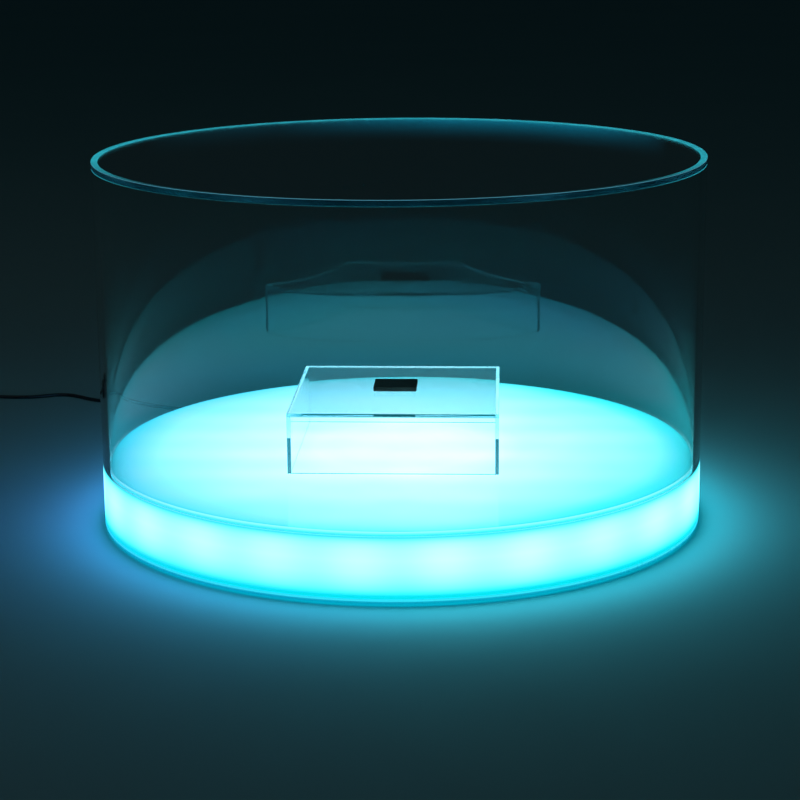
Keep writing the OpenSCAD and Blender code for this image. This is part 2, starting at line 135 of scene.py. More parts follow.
def axes(tree):
    """x, y and z on the piece, in metres."""
    split = node(tree, "ShaderNodeSeparateXYZ", {0: position(tree)})
    return split.outputs[0], split.outputs[1], split.outputs[2]


def stretched(tree, scale):
    """Position, scaled along each axis."""
    return node(tree, "ShaderNodeMapping", {"Vector": position(tree), "Scale": scale}).outputs[0]


def noise(tree, size, detail=2.0, vector=None, rough=0.5):
    """Noise with features of about this size, in metres."""
    inputs = {
        "Vector": vector or position(tree),
        "Scale": 1 / size,
        "Detail": detail,
        "Roughness": rough,
    }
    return node(tree, "ShaderNodeTexNoise", inputs).outputs[0]


def cells(tree, size):
    """Distance pattern of small cells of this size, in metres."""
    inputs = {"Vector": position(tree), "Scale": 1 / size}
    return node(tree, "ShaderNodeTexVoronoi", inputs).outputs["Distance"]


def ramp(tree, factor, stops):
    """Colour that follows factor through (place, colour) stops."""
    made = node(tree, "ShaderNodeValToRGB", {0: factor})
    elements = made.color_ramp.elements
    while len(elements) < len(stops):
        elements.new(0.5)
    for element, (at, colour) in zip(elements, stops):
        element.position = at
        element.color = (*colour, 1)
    return made.outputs[0]


def spread(tree, factor, low, high, from_low=0.3, from_high=0.7):
    """factor mapped from its usual span onto low to high."""
    inputs = {0: factor, 1: from_low, 2: from_high, 3: low, 4: high}
    return node(tree, "ShaderNodeMapRange", inputs).outputs[0]


def blend_colours(tree, factor, a, b, way="MIX"):
    """a at factor 0, b at factor 1."""
    made = node(tree, "ShaderNodeMix", data_type="RGBA", blend_type=way)
    for index, value in ((0, factor), (6, a), (7, b)):
        if isinstance(value, bpy.types.NodeSocket):
            tree.links.new(value, made.inputs[index])
        else:
            constant = (*value, 1) if isinstance(value, tuple) else value
            made.inputs[index].default_value = constant
    return made.outputs[2]


def bump(tree, height, depth):
    """Normal of a relief of this depth, in metres."""
    inputs = {"Height": height, "Distance": depth, "Strength": 1.0}
    return node(tree, "ShaderNodeBump", inputs).outputs[0]


def material(name, **constants):
    """(material, tree, Principled shader), the shader joined to the output."""
    made = bpy.data.materials.new(name)
    made.use_nodes = True
    tree = made.node_tree
    tree.nodes.clear()
    shader = node(tree, "ShaderNodeBsdfPrincipled")
    for key, value in constants.items():
        socket = shader.inputs[key.replace("_", " ")]
        socket.default_value = (*value, 1) if isinstance(value, tuple) else value
    output = node(tree, "ShaderNodeOutputMaterial")
    tree.links.new(shader.outputs[0], output.inputs[0])
    return made, tree, shader


def join(tree, socket, shader, name):
    tree.links.new(socket, shader.inputs[name])


# --- Materials ---

BLACK = (0.0, 0.0, 0.0)
WHITE = (1.0, 1.0, 1.0)
ACRYLIC_TINT = (0.955, 0.992, 0.996)
ACRYLIC_RIPPLE = 0.00002
EDGE_TINT = (0.01, 0.05, 0.08)
# A painted glow on clear acrylic, standing for light its scratches and edges scatter.
PAINTED_EDGE_GLOW = (0.0, 0.018, 0.025)
# Painted teal tint on the cover's reflections, for a room that only the base lights.
PAINTED_REFLECTION_TINT = (0.2, 0.9, 1.0)
# Size of a moulded finish's colour clouds and gloss patches, in grains.
CLOUD_GRAINS = 40
PATCH_GRAINS = 12
# How far the painted glow runs down the tube from the cement, and how sharply it fades.
PAINTED_GLOW_DEPTH = 0.024
PAINTED_GLOW_FALL = 2.9
# The height below the disc's top over which the painted highlight on its edge turns from dark to
# light.
CORNER_LOW = 0.0006
CORNER_HIGH = 0.0004


def moulded(name, dark, light, rough, grain, depth):
    """Moulded plastic or rubber: cloudy colour, uneven gloss and a fine grain."""
    made, tree, shader = material(name)
    cloud = noise(tree, grain * CLOUD_GRAINS, 4)
    join(tree, blend_colours(tree, spread(tree, cloud, 0, 1), dark, light), shader, "Base Color")
    patch = noise(tree, grain * PATCH_GRAINS, 3)
    join(tree, spread(tree, patch, rough - 0.07, rough + 0.09), shader, "Roughness")
    join(tree, bump(tree, noise(tree, grain, 3, rough=0.65), depth), shader, "Normal")
    return made


def metal(name, dark, light, rough, lay):
    """Metal with fine marks along one axis: lay is the size of the marks along each axis."""
    made, tree, shader = material(name, Metallic=1.0)
    marks = noise(tree, 1, 3, stretched(tree, tuple(1 / size for size in lay)))
    haze = noise(tree, 0.004, 3)
    tone = math_node(tree, "MULTIPLY_ADD", marks, 0.4)
    tree.links.new(haze, tone.node.inputs[2])
    colour = blend_colours(tree, spread(tree, tone, 0, 1, 0.5, 0.9), dark, light)
    join(tree, colour, shader, "Base Color")
    join(tree, spread(tree, marks, rough - 0.06, rough + 0.1), shader, "Roughness")
    join(tree, bump(tree, marks, 0.00001), shader, "Normal")
    return made


def clear(name, tint, ripple, haze=0.0, sheen=WHITE, glow=BLACK):
    """Clear acrylic that lets light through to what it covers: (material, tree, shader).
    glow is a painted glow that stands for the light its scratches and edges scatter."""
    made, tree, shader = material(
        name, Base_Color=tint, IOR=1.491, Transmission_Weight=1.0, Specular_Tint=sheen,
        Emission_Color=glow, Emission_Strength=1.0,
    )
    handled = noise(tree, 0.03, 4)
    join(tree, spread(tree, handled, haze, haze + 0.012, 0.5, 0.8), shader, "Roughness")
    join(tree, bump(tree, noise(tree, 0.05, 1), ripple), shader, "Normal")
    through = node(tree, "ShaderNodeBsdfTransparent", {0: (*tint, 1)})
    path = node(tree, "ShaderNodeLightPath")
    mix = node(tree, "ShaderNodeMixShader", {0: path.outputs["Is Shadow Ray"]})
    tree.links.new(shader.outputs[0], mix.inputs[1])
    tree.links.new(through.outputs[0], mix.inputs[2])
    output = next(n for n in tree.nodes if n.type == "OUTPUT_MATERIAL")
    tree.links.new(mix.outputs[0], output.inputs[0])
    return made, tree, shader


def cover_wall():
    """The cover's tube, with a painted glow that runs down it from the cement at the back."""
    made, tree, shader = clear("cover_wall", ACRYLIC_TINT, ACRYLIC_RIPPLE, sheen=PAINTED_REFLECTION_TINT)
    x, y, z = axes(tree)
    up = spread(tree, z, 0, 1, tube_high.z - PAINTED_GLOW_DEPTH, tube_high.z)
    fall = math_node(tree, "POWER", up, PAINTED_GLOW_FALL)
    back = math_node(tree, "MULTIPLY", fall, spread(tree, y, 0, 1, 0.1, 0.2))
    amount = math_node(tree, "MULTIPLY", back, spread(tree, x, 0.15, 1, -0.12, 0.03))
    # Painted glow at the top of the tube's back, right of the middle.
    glow = blend_colours(tree, amount, BLACK, (0.0, 0.18, 0.3))
    join(tree, glow, shader, "Emission Color")
    return made


def disc_edge():
    """The disc's polished edge, tinted by its depth, with a painted highlight along its upper
    corner.
    """
    made, tree, shader = clear(
        "disc_edge", EDGE_TINT, ACRYLIC_RIPPLE, haze=0.1, sheen=PAINTED_REFLECTION_TINT
    )
    z = axes(tree)[2]
    corner = spread(tree, z, 0, 1, disc_high.z - CORNER_LOW, disc_high.z - CORNER_HIGH)
    # Painted highlight: a glowing band along the disc's upper corner.
    glow = blend_colours(tree, corner, (0.0, 0.001, 0.003), (0.09, 0.32, 0.42))
    join(tree, glow, shader, "Emission Color")
    return made


def side_tint(tree, colour, x, least):
    """colour with less green, least of it at the left end of the base."""
    green = spread(tree, x, least, 1.0, -BASE_R, 0.04)
    tint = node(tree, "ShaderNodeCombineXYZ", {0: 1.0, 1: green, 2: 1.0}).outputs[0]
    return blend_colours(tree, 1.0, colour, tint, "MULTIPLY")


def red_scaled(tree, colour, amount):
    """colour with its red multiplied by amount: the light looks whiter where it is strong."""
    tint = node(tree, "ShaderNodeCombineXYZ", {0: amount, 1: 1.0, 2: 1.0}).outputs[0]
    return blend_colours(tree, 1.0, colour, tint, "MULTIPLY")


def lit_wall():
    """Opal wall with a soft hot spot in front of each wall LED."""
    made, tree, shader = material(
        "lit_wall", IOR=1.49, Emission_Strength=WALL_GLOW, Base_Color=(0.1, 0.45, 0.5)
    )
    x, y, z = axes(tree)
    up = spread(tree, z, 0, 1, wall_low.z, wall_high.z)
    glow = ramp(tree, up, [
        (0.0, (0.0, 0.165, 0.18)), (0.05, (0.0, 0.18, 0.2)), (0.1, (0.013, 0.25, 0.3)),
        (0.16, (0.04, 0.5, 0.62)), (0.27, (0.074, 0.68, 0.88)), (0.42, (0.108, 0.77, 0.98)),
        (0.62, (0.128, 0.8, 1.0)), (0.78, (0.114, 0.72, 0.94)), (0.87, (0.09, 0.52, 0.68)),
        (0.93, (0.058, 0.34, 0.42)), (0.97, (0.028, 0.24, 0.28)), (1.0, (0.006, 0.19, 0.205)),
    ])
    angle = math_node(tree, "ARCTAN2", y, x)
    phase = math_node(tree, "MULTIPLY", math_node(tree, "SUBTRACT", angle, FIRST_LED), RIM_LEDS)
    spot = math_node(tree, "COSINE", phase)
    uneven = math_node(tree, "MULTIPLY", noise(tree, 0.09, 1), 0.5)
    amount = math_node(tree, "ADD", math_node(tree, "MULTIPLY", spot, 0.13), uneven)
    glow = red_scaled(tree, glow, math_node(tree, "ADD", amount, 0.75))
    off_middle = math_node(tree, "ABSOLUTE", math_node(tree, "SUBTRACT", up, 0.5))
    least = spread(tree, off_middle, 0.5, 0.92, 0.3, 0.44)
    join(tree, side_tint(tree, glow, x, least), shader, "Emission Color")
    join(tree, spread(tree, noise(tree, 0.02, 3), 0.12, 0.22), shader, "Roughness")
    join(tree, bump(tree, noise(tree, 0.03, 2), 0.00006), shader, "Normal")
    return made


def lit_deck():
    """Opal deck, whitest in the middle and least white at its left and right ends, with faint bands
    over the rows of LEDs."""
    made, tree, shader = material(
        "lit_deck", IOR=1.49, Emission_Strength=DECK_GLOW, Base_Color=(0.15, 0.5, 0.55)
    )
    x, y, z = axes(tree)
    flat = node(tree, "ShaderNodeCombineXYZ", {0: x, 1: y}).outputs[0]
    from_axis = node(tree, "ShaderNodeVectorMath", {0: flat}, operation="LENGTH").outputs["Value"]
    share = math_node(tree, "DIVIDE", from_axis, deck_high.x)
    glow = ramp(tree, share, [
        (0.0, (0.46, 0.85, 1.0)), (0.3, (0.42, 0.84, 0.98)), (0.42, (0.32, 0.82, 0.95)),
        (0.6, (0.25, 0.76, 0.93)), (0.75, (0.195, 0.68, 0.85)), (0.86, (0.145, 0.57, 0.7)),
        (0.93, (0.11, 0.5, 0.6)), (0.985, (0.06, 0.47, 0.55)), (1.0, (0.02, 0.4, 0.48)),
    ])
    from_row = math_node(tree, "ADD", y, ROW_PITCH / 2)
    row = math_node(tree, "MULTIPLY", from_row, 2 * math.pi / ROW_PITCH)
    band = math_node(tree, "MULTIPLY", math_node(tree, "COSINE", row), 0.06)
    uneven = math_node(tree, "MULTIPLY", noise(tree, 0.08, 2), 0.4)
    amount = math_node(tree, "ADD", math_node(tree, "ADD", band, uneven), 0.8)
    left = spread(tree, x, 0.4, 1.0, -0.242, -0.2)
    right = spread(tree, x, 1.0, spread(tree, share, 0.82, 0.35, 0.88, 0.96), 0.05, 0.16)
    sides = math_node(tree, "MULTIPLY", left, right)
    glow = red_scaled(tree, glow, math_node(tree, "MULTIPLY", amount, sides))
    up = spread(tree, z, 0, 1, deck_low.z, deck_high.z)
    edge = ramp(tree, up, [
        (0.0, (0.0, 0.2, 0.25)), (0.45, (0.02, 0.36, 0.42)), (0.7, (0.08, 0.5, 0.56)),
        (0.88, (0.14, 0.56, 0.62)),
    ])
    glow = blend_colours(tree, spread(tree, up, 0, 1, 0.985, 0.995), edge, glow)
    join(tree, side_tint(tree, glow, x, 0.84), shader, "Emission Color")
    join(tree, spread(tree, noise(tree, 0.04, 4), 0.03, 0.1), shader, "Roughness")
    join(tree, bump(tree, noise(tree, 0.05, 1), 0.00004), shader, "Normal")
    return made


def lit_plate():
    """Bottom plate, lit through its edge: a bright line near its top, dim towards the floor as a
    painted shadow of the gap under the base, and light that leaves it underneath."""
    made, tree, shader = material(
        "lit_plate", IOR=1.49, Emission_Strength=PLATE_GLOW, Base_Color=(0.03, 0.35, 0.4)
    )
    x, _, z = axes(tree)
    up = spread(tree, z, 0, 1, plate_low.z, plate_high.z)
    # Below the bright line the side is painted dark, a painted shadow for the gap at the foot of
    # the base.
    glow = ramp(tree, up, [
        (0.0, (0.0, 0.2, 0.26)), (0.02, (0.0, 0.09, 0.135)), (0.25, (0.0, 0.1, 0.145)),
        (0.48, (0.002, 0.13, 0.18)), (0.64, (0.012, 0.25, 0.3)), (0.84, (0.01, 0.24, 0.29)),
        (1.0, (0.0, 0.15, 0.19)),
    ])
    join(tree, side_tint(tree, glow, x, 0.9), shader, "Emission Color")
    join(tree, spread(tree, noise(tree, 0.01, 3), 0.15, 0.35), shader, "Roughness")
    join(tree, bump(tree, noise(tree, 0.004, 2), 0.00005), shader, "Normal")
    return made


def cement():
    """Cured cement in the cover's joint, with a painted glow for the light that climbs the tube,
    most of it at the back."""
    made, tree, shader = material(
        "cement_line", IOR=1.48, Emission_Strength=CEMENT_PAINTED_GLOW, Transmission_Weight=0.2
    )
    bubbles = cells(tree, 0.003)
    cloud = noise(tree, 0.02, 3)
    clouded, bubbled = spread(tree, cloud, 0.5, 1.0), spread(tree, bubbles, 0.7, 1.0, 0, 0.6)
    milky = math_node(tree, "MULTIPLY", clouded, bubbled)
    join(tree, blend_colours(tree, milky, (0.1, 0.4, 0.45), (0.3, 0.7, 0.75)), shader, "Base Color")
    y = axes(tree)[1]
    # Painted glow: the milky cement lit, dim at the front and strongest at the back.
    light = blend_colours(tree, milky, (0.0, 0.36, 0.46), (0.06, 0.8, 0.95))
    painted_glow_towards_back = spread(tree, y, 0, 1, -0.17, -0.04)
    light = blend_colours(tree, painted_glow_towards_back, (0.0, 0.05, 0.065), light)
    join(tree, light, shader, "Emission Color")
    join(tree, spread(tree, cloud, 0.35, 0.6), shader, "Roughness")
    join(tree, bump(tree, bubbles, 0.0001), shader, "Normal")
    return made


def solder_mask(name, mask, trace, size):
    """Printed board: traces show through the mask."""
    made, tree, shader = material(name, Specular_IOR_Level=0.5, Coat_Weight=0.3)
    darker = tuple(c * 0.92 for c in mask)
    brick = node(tree, "ShaderNodeTexBrick", {
        "Vector": position(tree), "Scale": 1 / size, "Mortar Size": 0.06, "Mortar Smooth": 0.3,
        "Color1": (*mask, 1), "Color2": (*darker, 1), "Mortar": (*trace, 1),
    })
    join(tree, brick.outputs["Color"], shader, "Base Color")
    join(tree, spread(tree, noise(tree, size, 3), 0.3, 0.5), shader, "Roughness")
    join(tree, bump(tree, brick.outputs["Fac"], 0.00003), shader, "Normal")
    return made


def led_resin():
    """Yellow resin over a lit LED."""
    made, tree, shader = material("led_chip", IOR=1.5, Emission_Strength=LED_GLOW)
    grain = cells(tree, 0.0012)
    resin = blend_colours(tree, grain, (0.95, 0.88, 0.4), (0.8, 0.68, 0.25))
    light = blend_colours(tree, grain, (0.3, 0.9, 1.0), (0.15, 0.6, 0.8))
    join(tree, resin, shader, "Base Color")
    join(tree, light, shader, "Emission Color")
    join(tree, spread(tree, noise(tree, 0.001), 0.15, 0.3), shader, "Roughness")
    return made


def tape():
    """Woven hook-and-loop tape."""
    made, tree, shader = material("tie_blue", Sheen_Weight=0.5, Sheen_Roughness=0.5)
    waves = []
    for direction in ("X", "Z"):
        inputs = {"Vector": position(tree), "Scale": 500.0, "Distortion": 0.6, "Detail": 1.0}
        wave = node(tree, "ShaderNodeTexWave", inputs, bands_direction=direction)
        waves.append(wave.outputs[1])
    weave = math_node(tree, "MULTIPLY", *waves)
    colour = blend_colours(tree, weave, (0.03, 0.09, 0.25), (0.1, 0.24, 0.5))
    join(tree, colour, shader, "Base Color")
    join(tree, spread(tree, noise(tree, 0.002), 0.7, 0.95), shader, "Roughness")
    join(tree, bump(tree, weave, 0.0003), shader, "Normal")
    return made


# Each row of MOULDED is (dark colour, light colour, roughness, grain size, grain depth).
MOULDED = {
    "white_film": ((0.86, 0.87, 0.87), (0.95, 0.96, 0.96), 0.6, 0.0006, 0.00002),
    "red_wire": ((0.5, 0.05, 0.03), (0.66, 0.1, 0.06), 0.38, 0.0005, 0.00002),
    "white_wire": ((0.75, 0.74, 0.7), (0.87, 0.86, 0.82), 0.38, 0.0005, 0.00002),
    "black_plastic": ((0.018, 0.019, 0.021), (0.032, 0.034, 0.037), 0.48, 0.0004, 0.00006),
    "component_grey": ((0.16, 0.17, 0.19), (0.27, 0.29, 0.32), 0.45, 0.0004, 0.00004),
    "cable_black": ((0.014, 0.015, 0.016), (0.03, 0.031, 0.033), 0.42, 0.0004, 0.00004),
    "rubber": ((0.022, 0.026, 0.02), (0.045, 0.05, 0.04), 0.75, 0.0006, 0.00008),
    "button_grey": ((0.66, 0.67, 0.68), (0.76, 0.77, 0.78), 0.36, 0.0005, 0.00003),
}
# Each row of METALS is (dark colour, light colour, roughness, size of the marks along each axis).
METALS = {
    "steel": ((0.5, 0.51, 0.52), (0.74, 0.75, 0.76), 0.3, (0.0003, 0.003, 0.003)),
    "spring_steel": ((0.55, 0.56, 0.57), (0.78, 0.79, 0.8), 0.2, (0.002, 0.002, 0.0002)),
    "contact_brass": ((0.55, 0.38, 0.14), (0.82, 0.63, 0.3), 0.28, (0.003, 0.0003, 0.003)),
    "plug_nickel": ((0.6, 0.59, 0.57), (0.82, 0.81, 0.79), 0.16, (0.003, 0.0002, 0.0002)),
}
finishes = {
    "clear_acrylic": clear("clear_acrylic", ACRYLIC_TINT, ACRYLIC_RIPPLE, glow=PAINTED_EDGE_GLOW)[0],
    "lens": clear("lens", (0.96, 0.99, 1.0), 0.00001)[0],
    "cement_line": cement(),
    "opal_acrylic": lit_plate(),
    "led_board": solder_mask("led_board", (0.9, 0.89, 0.84), (0.75, 0.62, 0.4), 0.008),
    "led_chip": led_resin(),
    "circuit_board": solder_mask("circuit_board", (0.02, 0.2, 0.08), (0.08, 0.36, 0.16), 0.005),
    "tie_blue": tape(),
    **{name: moulded(name, *row) for name, row in MOULDED.items()},
    **{name: metal(name, *row) for name, row in METALS.items()},
}
# The cover's faces, with the painted teal tint on their reflections.
cover_face = clear("cover_face", ACRYLIC_TINT, ACRYLIC_RIPPLE, sheen=PAINTED_REFLECTION_TINT)[0]
wall_material = lit_wall()
deck_material = lit_deck()

# --- Mesh helpers ---

CORNER_POINTS = 4
MERGE = 1e-6
ON_AXIS = 1e-7


def soften(corners):
    """Closed outline of (x, z, radius) corners, each rounded to its radius."""
    outline = []
    for i, (x, z, radius) in enumerate(corners):
        here = Vector((x, z))
        if radius == 0:
            outline.append(here)
            continue
        before = (Vector(corners[i - 1][:2]) - here).normalized()
        after = (Vector(corners[(i + 1) % len(corners)][:2]) - here).normalized()
        half = before.angle(after) / 2
        centre = here + (before + after).normalized() * radius / math.sin(half)
        start = here + before * radius / math.tan(half) - centre
        end = here + after * radius / math.tan(half) - centre
        sweep = start.angle_signed(end)
        for k in range(CORNER_POINTS):
            part = Matrix.Rotation(-sweep * k / (CORNER_POINTS - 1), 2)
            outline.append(centre + part @ start)
    return outline


def finish_piece(made, name, body, replaced, finish=None):
    """Turns a bmesh into a piece that rides on a body and stands for CAD nodes."""
    bmesh.ops.recalc_face_normals(made, faces=made.faces)
    mesh = bpy.data.meshes.new(name)
    made.to_mesh(mesh)
    made.free()
    for polygon in mesh.polygons:
        polygon.use_smooth = True
    piece = bpy.data.objects.new(name, mesh)
    scene.collection.objects.link(piece)
    mesh.materials.append(finish or finishes[slot_of[replaced[0]]])
    weights = piece.modifiers.new("flat_faces", "WEIGHTED_NORMAL")
    weights.weight = 100
    weights.keep_sharp = True
    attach(piece, body)
    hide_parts(*replaced)
    return piece


def turned(made, outline, steps, to_place=Matrix.Identity(4)):
    """Adds the solid that a closed (radius, height) outline sweeps around an axis."""
    rings = []
    for r, h in outline:
        if r < ON_AXIS:
            rings.append([made.verts.new(to_place @ Vector((0, 0, h)))])
            continue
        rings.append([
            made.verts.new(to_place @ Vector((
                r * math.cos(2 * math.pi * k / steps), r * math.sin(2 * math.pi * k / steps), h
            )))
            for k in range(steps)
        ])
    for i, ring in enumerate(rings):
        other = rings[(i + 1) % len(rings)]
        if len(ring) == len(other) == 1:
            continue
        for k in range(steps):
            corners = [
                ring[k % len(ring)], ring[(k + 1) % len(ring)],
                other[(k + 1) % len(other)], other[k % len(other)],
            ]
            made.faces.new(list(dict.fromkeys(corners)))


def turned_piece(
    name, body, corners, replaced, finish=None, steps=256, to_place=Matrix.Identity(4)
):
    """One piece turned from (radius, height, rounding) corners."""
    made = bmesh.new()
    turned(made, soften(corners), steps, to_place)
    return finish_piece(made, name, body, replaced, finish)


def ring_corners(outer, inner, low, high, edge):
    """Section of a ring whose edges are rounded to edge."""
    return [(outer, low, edge), (outer, high, edge), (inner, high, edge), (inner, low, edge)]


def disc_corners(outer, low, high, edge):
    """Half section of a disc whose edge is rounded to edge."""
    return [(0, low, 0), (outer, low, edge), (outer, high, edge), (0, high, 0)]


def panel(name, body, edge, below=(0, 0, 0), above=(0, 0, 0)):
    """A sheet in place of a CAD node, with its edges eased. below and above move its lower and
    upper sides: a cemented side is sunk into its neighbour, so that no air gap mirrors the light.
    """
    low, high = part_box(name)
    low, high = low + Vector(below), high + Vector(above)
    made = bmesh.new()
    bmesh.ops.create_cube(made, size=1)
    size = high - low
    for vert in made.verts:
        vert.co = low + Vector((vert.co[i] + 0.5) * size[i] for i in range(3))
    bmesh.ops.bevel(made, geom=made.edges[:], offset=edge, segments=2, affect="EDGES", profile=0.5)
    return finish_piece(made, name + "_sheet", body, [name])


def eased(name, body, edge):
    """A CAD node's own shape with its edges eased, in place of the node."""
    made = bmesh.new()
    made.from_mesh(nodes[name].data)
    bmesh.ops.remove_doubles(made, verts=made.verts, dist=MERGE)
    bmesh.ops.dissolve_limit(made, angle_limit=math.radians(1), verts=made.verts, edges=made.edges)
    piece = finish_piece(made, name + "_eased", body, [name])
    bevel = piece.modifiers.new("eased", "BEVEL")
    bevel.width = edge
    bevel.segments = 2
    bevel.limit_method = "ANGLE"
    bevel.angle_limit = math.radians(40)
    bevel.harden_normals = False
    piece.modifiers.move(1, 0)
    return piece


# --- Supply cable ---

CABLE_D = 0.0035
EXIT = (0, 0.274, 0.014)
LAID = 0.0019
TAIL_ROUTE = [
    EXIT, (0, 0.280, 0.0136), (-0.001, 0.287, 0.012), (-0.004, 0.295, 0.0092),
    (-0.009, 0.303, 0.0062), (-0.017, 0.311, 0.0038), (-0.027, 0.317, 0.0023),
    (-0.039, 0.321, LAID), (-0.052, 0.322, LAID), (-0.064, 0.322, 0.0024),
    (-0.075, 0.322, 0.0042), (-0.084, 0.322, 0.005),
]
LEAD_ROUTE = [
    (-0.142, 0.322, 0.005), (-0.151, 0.322, 0.0042), (-0.162, 0.323, 0.0024),
    (-0.176, 0.325, LAID), (-0.200, 0.329, LAID), (-0.225, 0.335, LAID),
    (-0.250, 0.342, LAID), (-0.275, 0.351, LAID), (-0.300, 0.361, LAID),
    (-0.322, 0.371, LAID), (-0.338, 0.380, LAID), (-0.350, 0.389, LAID),
    (-0.361, 0.396, LAID), (-0.373, 0.3979, LAID), (-0.385, 0.394, LAID),
    (-0.397, 0.389, LAID), (-0.412, 0.387, LAID), (-0.428, 0.388, LAID),
    (-0.444, 0.390, 0.0021), (-0.456, 0.3905, 0.0026),
]
PLUG_ROUTE = [
    (-0.4745, 0.3934, 0.0061), (-0.484, 0.3922, 0.0056), (-0.489, 0.3915, 0.0053),
    (-0.494, 0.3915, 0.0053),
]
COIL_CENTRE = (-0.466, 0.366)
COIL_TRACKS = (0.0245, 0.021, 0.0175, 0.014)
COIL_LOW = 0.00265
COIL_STEPS = 24
COIL_TURNS = 8
END_R = 0.00225


def eased_share(value, start, end):
    """0 before start, 1 after end, smooth between."""
    t = min(1, max(0, (value - start) / (end - start)))
    return t * t * (3 - 2 * t)


def coil_route():
    """Turns that work inwards, climb one cable's thickness, and work out again."""
    inwards = len(COIL_TRACKS)
    radii = [*COIL_TRACKS, *reversed(COIL_TRACKS), COIL_TRACKS[0] + CABLE_D]
    levels = [0] * inwards + [1] * (COIL_TURNS + 1 - inwards)
    points = []
    for step in range(COIL_STEPS * COIL_TURNS + 1):
        turns = step / COIL_STEPS
        at = min(COIL_TURNS - 1, int(turns))
        part = turns - at
        if at < inwards - 1:
            share = eased_share(part, 0.76, 1.0)
        elif at == inwards - 1:
            share = eased_share(part, 0.56, 0.8)
        else:
            share = eased_share(part, 0.38, 0.62)
        r = radii[at] + (radii[at + 1] - radii[at]) * share
        z = COIL_LOW + CABLE_D * (levels[at] + (levels[at + 1] - levels[at]) * share)
        angle = math.pi / 2 + 2 * math.pi * turns
        x = COIL_CENTRE[0] + r * math.cos(angle)
        y = COIL_CENTRE[1] + r * math.sin(angle)
        points.append((x, y, z))
    return points


def build_cable():
    """The whole cable, from the strain relief to the plug."""
    route = TAIL_ROUTE + LEAD_ROUTE + coil_route() + PLUG_ROUTE
    curve = bpy.data.curves.new("cable", "CURVE")
    curve.dimensions = "3D"
    curve.resolution_u = 4
    curve.bevel_depth = CABLE_D / 2
    curve.bevel_resolution = 5
    curve.use_fill_caps = True
    spline = curve.splines.new("BEZIER")
    spline.bezier_points.add(len(route) - 1)
    for point, at in zip(spline.bezier_points, route):
        point.co = at
        point.handle_left_type = point.handle_right_type = "AUTO"
    cable = bpy.data.objects.new("cable", curve)
    scene.collection.objects.link(cable)
    curve.materials.append(finishes["cable_black"])
    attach(cable, "base")
    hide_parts("cable_tail", "cable_lead", "cable_coil", "plug_lead")
    return cable


def build_relief():
    """Strain relief: collar, barrel, flange and a tapered tail cut by grooves."""
    low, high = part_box("cable_relief")
    flange_r = (high.x - low.x) / 2
    flange_back = BASE_R + 0.00001
    tail_start = BASE_R + 0.002
    collar_r, barrel_r, tail_r = 0.005, 0.0034, 0.004
    collar_end = low.y + 0.002
    corners = [
        (0, low.y, 0), (collar_r, low.y, 0.0003), (collar_r, collar_end, 0),
        (barrel_r, collar_end, 0), (barrel_r, flange_back, 0), (flange_r, flange_back, 0),
        (flange_r, tail_start, 0.0006), (tail_r, tail_start, 0),
    ]
    grooves = 6
    pitch = (high.y - tail_start) / (grooves + 1)
    for i in range(1, grooves + 1):
        y = tail_start + pitch * (i - 0.35)
        r = tail_r + (END_R - tail_r) * (y - tail_start) / (high.y - tail_start)
        corners += [
            (r, y, 0.0002), (r - 0.0007, y + 0.0002, 0),
            (r - 0.0008, y + 0.0011, 0), (r - 0.0001, y + 0.0013, 0.0002),
        ]
    corners += [(END_R, high.y, 0.0003), (0, high.y, 0)]
    to_place = Matrix.Translation((0, 0, EXIT[2])) @ Matrix.Rotation(-math.pi / 2, 4, "X")
    return turned_piece(
        "strain_relief", "base", corners, ["cable_relief"], steps=48, to_place=to_place
    )


def build_plug():
    """Moulded plug body with grip grooves, nickel barrel and black insert."""
    low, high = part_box("plug_body")
    tip_low, tip_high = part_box("plug_barrel")
    insert_low, insert_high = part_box("plug_insulator")
    axis = ((low.y + high.y) / 2, (low.z + high.z) / 2)
    to_place = Matrix.Translation((high.x, *axis)) @ Matrix.Rotation(-math.pi / 2, 4, "Y")
    length = high.x - low.x
    body_r = (high.y - low.y) / 2
    taper, taper_r = 0.014, 0.00425
    sleeve_t, insert_bore_r = 0.0006, 0.00105
    corners = [(0, 0, 0), (END_R, 0, 0.0003), (taper_r, taper, 0.0005), (body_r, taper, 0.0008)]
    for start in (0.005, 0.009, 0.013):
        corners += [
            (body_r, taper + start, 0.0002), (body_r - 0.0005, taper + start + 0.0002, 0),
            (body_r - 0.0005, taper + start + 0.0014, 0), (body_r, taper + start + 0.0016, 0.0002),
        ]
    corners += [(body_r, length, 0.0008), (0, length, 0)]
    body = turned_piece("plug_grip", "base", corners, ["plug_body"], steps=64, to_place=to_place)
    sleeve_r = (tip_high.y - tip_low.y) / 2
    sleeve_end = length + tip_high.x - tip_low.x
    sleeve_ring = ring_corners(sleeve_r, sleeve_r - sleeve_t, length, sleeve_end, 0.00015)
    sleeve = turned_piece(
        "plug_sleeve", "base", sleeve_ring, ["plug_barrel"], steps=64, to_place=to_place
    )
    insert_r = (insert_high.y - insert_low.y) / 2
    insert_end = length + insert_high.x - insert_low.x
    insert_ring = ring_corners(insert_r, insert_bore_r, length, insert_end, 0.0001)
    insert = turned_piece(
        "plug_insert", "base", insert_ring, ["plug_insulator"], steps=48, to_place=to_place
    )
    return [body, sleeve, insert]


def build_spring():
    """The button's spring, copied from the CAD node onto a mesh of its own."""
    made = bmesh.new()
    made.from_mesh(nodes["switch_spring"].data)
    coil = finish_piece(made, "switch_coil", "base", ["switch_spring"])
    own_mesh(coil)
    return coil


cable = build_cable()
on_cable = [build_relief(), *build_plug(), eased("coil_tie", "base", 0.0001)]
on_cable += [eased("switch_base", "base", 0.0006), eased("switch_shell", "base", 0.0006)]
on_cable += [eased("switch_button", "button", 0.0004)]
on_cable += [nodes["switch_contacts"], build_spring()]

# --- Base ---


FOOT_R = 0.009
FOOT_CHAMFER = 0.0005
FOOT_RING = 0.215
FEET = 6


